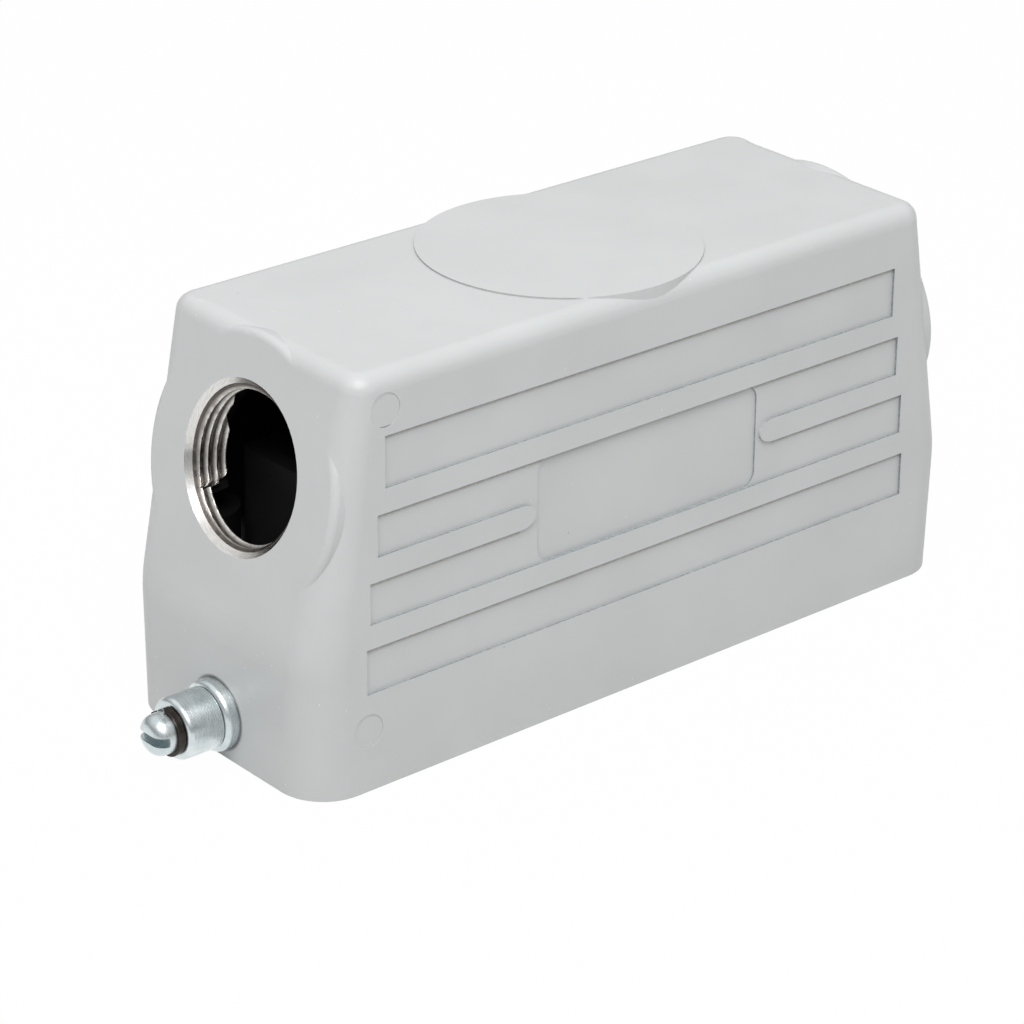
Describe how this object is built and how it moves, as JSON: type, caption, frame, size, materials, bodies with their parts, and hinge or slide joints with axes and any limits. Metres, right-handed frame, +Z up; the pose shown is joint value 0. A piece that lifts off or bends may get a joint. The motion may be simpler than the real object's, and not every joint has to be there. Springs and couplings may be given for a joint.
{
  "type": "heavy duty rectangular connector",
  "caption": "Rectangular plug connector: painted die-cast hood, threaded cable entry in one sloping end, a locking peg with a roller at each end, and a pin insert with screw terminals.",
  "frame": {"origin": "centre of the hood's rim, on the plane where the rim meets the mating housing", "axes": "+X along the length, away from the cable entry; +Z up, from the rim to the closed top; Y across the width"},
  "size_m": [0.1432, 0.0424, 0.0595],
  "materials": {
    "powder_coat": "fine satin powder coat, light grey",
    "moulding": "matte black moulding",
    "silver_plate": "silver-plated copper alloy",
    "zinc_plate": "bright zinc plating over turned or stamped steel",
    "screw_steel": "zinc-plated screws",
    "spring_steel": "oiled dark spring steel"
  },
  "bodies": {
    "hood": {"hood": "powder_coat", "insert_body": "moulding", "terminal_screws": "screw_steel", "contact_01": "silver_plate", "contact_02": "silver_plate", "contact_03": "silver_plate", "contact_04": "silver_plate", "contact_05": "silver_plate", "contact_06": "silver_plate", "contact_07": "silver_plate", "contact_08": "silver_plate", "contact_09": "silver_plate", "contact_10": "silver_plate", "contact_11": "silver_plate", "contact_12": "silver_plate", "contact_13": "silver_plate", "contact_14": "silver_plate", "contact_15": "silver_plate", "contact_16": "silver_plate", "contact_17": "silver_plate", "contact_18": "silver_plate", "contact_19": "silver_plate", "contact_20": "silver_plate", "contact_21": "silver_plate", "contact_22": "silver_plate", "contact_23": "silver_plate", "contact_24": "silver_plate", "lever_pin_left": "zinc_plate", "snap_ring_left": "spring_steel", "earth_bracket_left": "zinc_plate", "earth_clamp_left": "zinc_plate", "earth_screw_left": "screw_steel", "lever_pin_right": "zinc_plate", "snap_ring_right": "spring_steel", "earth_bracket_right": "zinc_plate", "earth_clamp_right": "zinc_plate", "earth_screw_right": "screw_steel", "fixing_screw_1": "screw_steel", "fixing_screw_2": "screw_steel", "fixing_screw_3": "screw_steel", "fixing_screw_4": "screw_steel"},
    "roller_left": {"lever_roller_left": "zinc_plate"},
    "roller_right": {"lever_roller_right": "zinc_plate"}
  },
  "joints": [
    {"name": "roller_spin_left", "type": "hinge", "parent": "hood", "child": "roller_left", "pos_m": [-0.06495, 0, 0.0062], "axis": [-1, 0, 0], "continuous": true},
    {"name": "roller_spin_right", "type": "hinge", "parent": "hood", "child": "roller_right", "pos_m": [0.06495, 0, 0.0062], "axis": [1, 0, 0], "continuous": true}
  ]
}
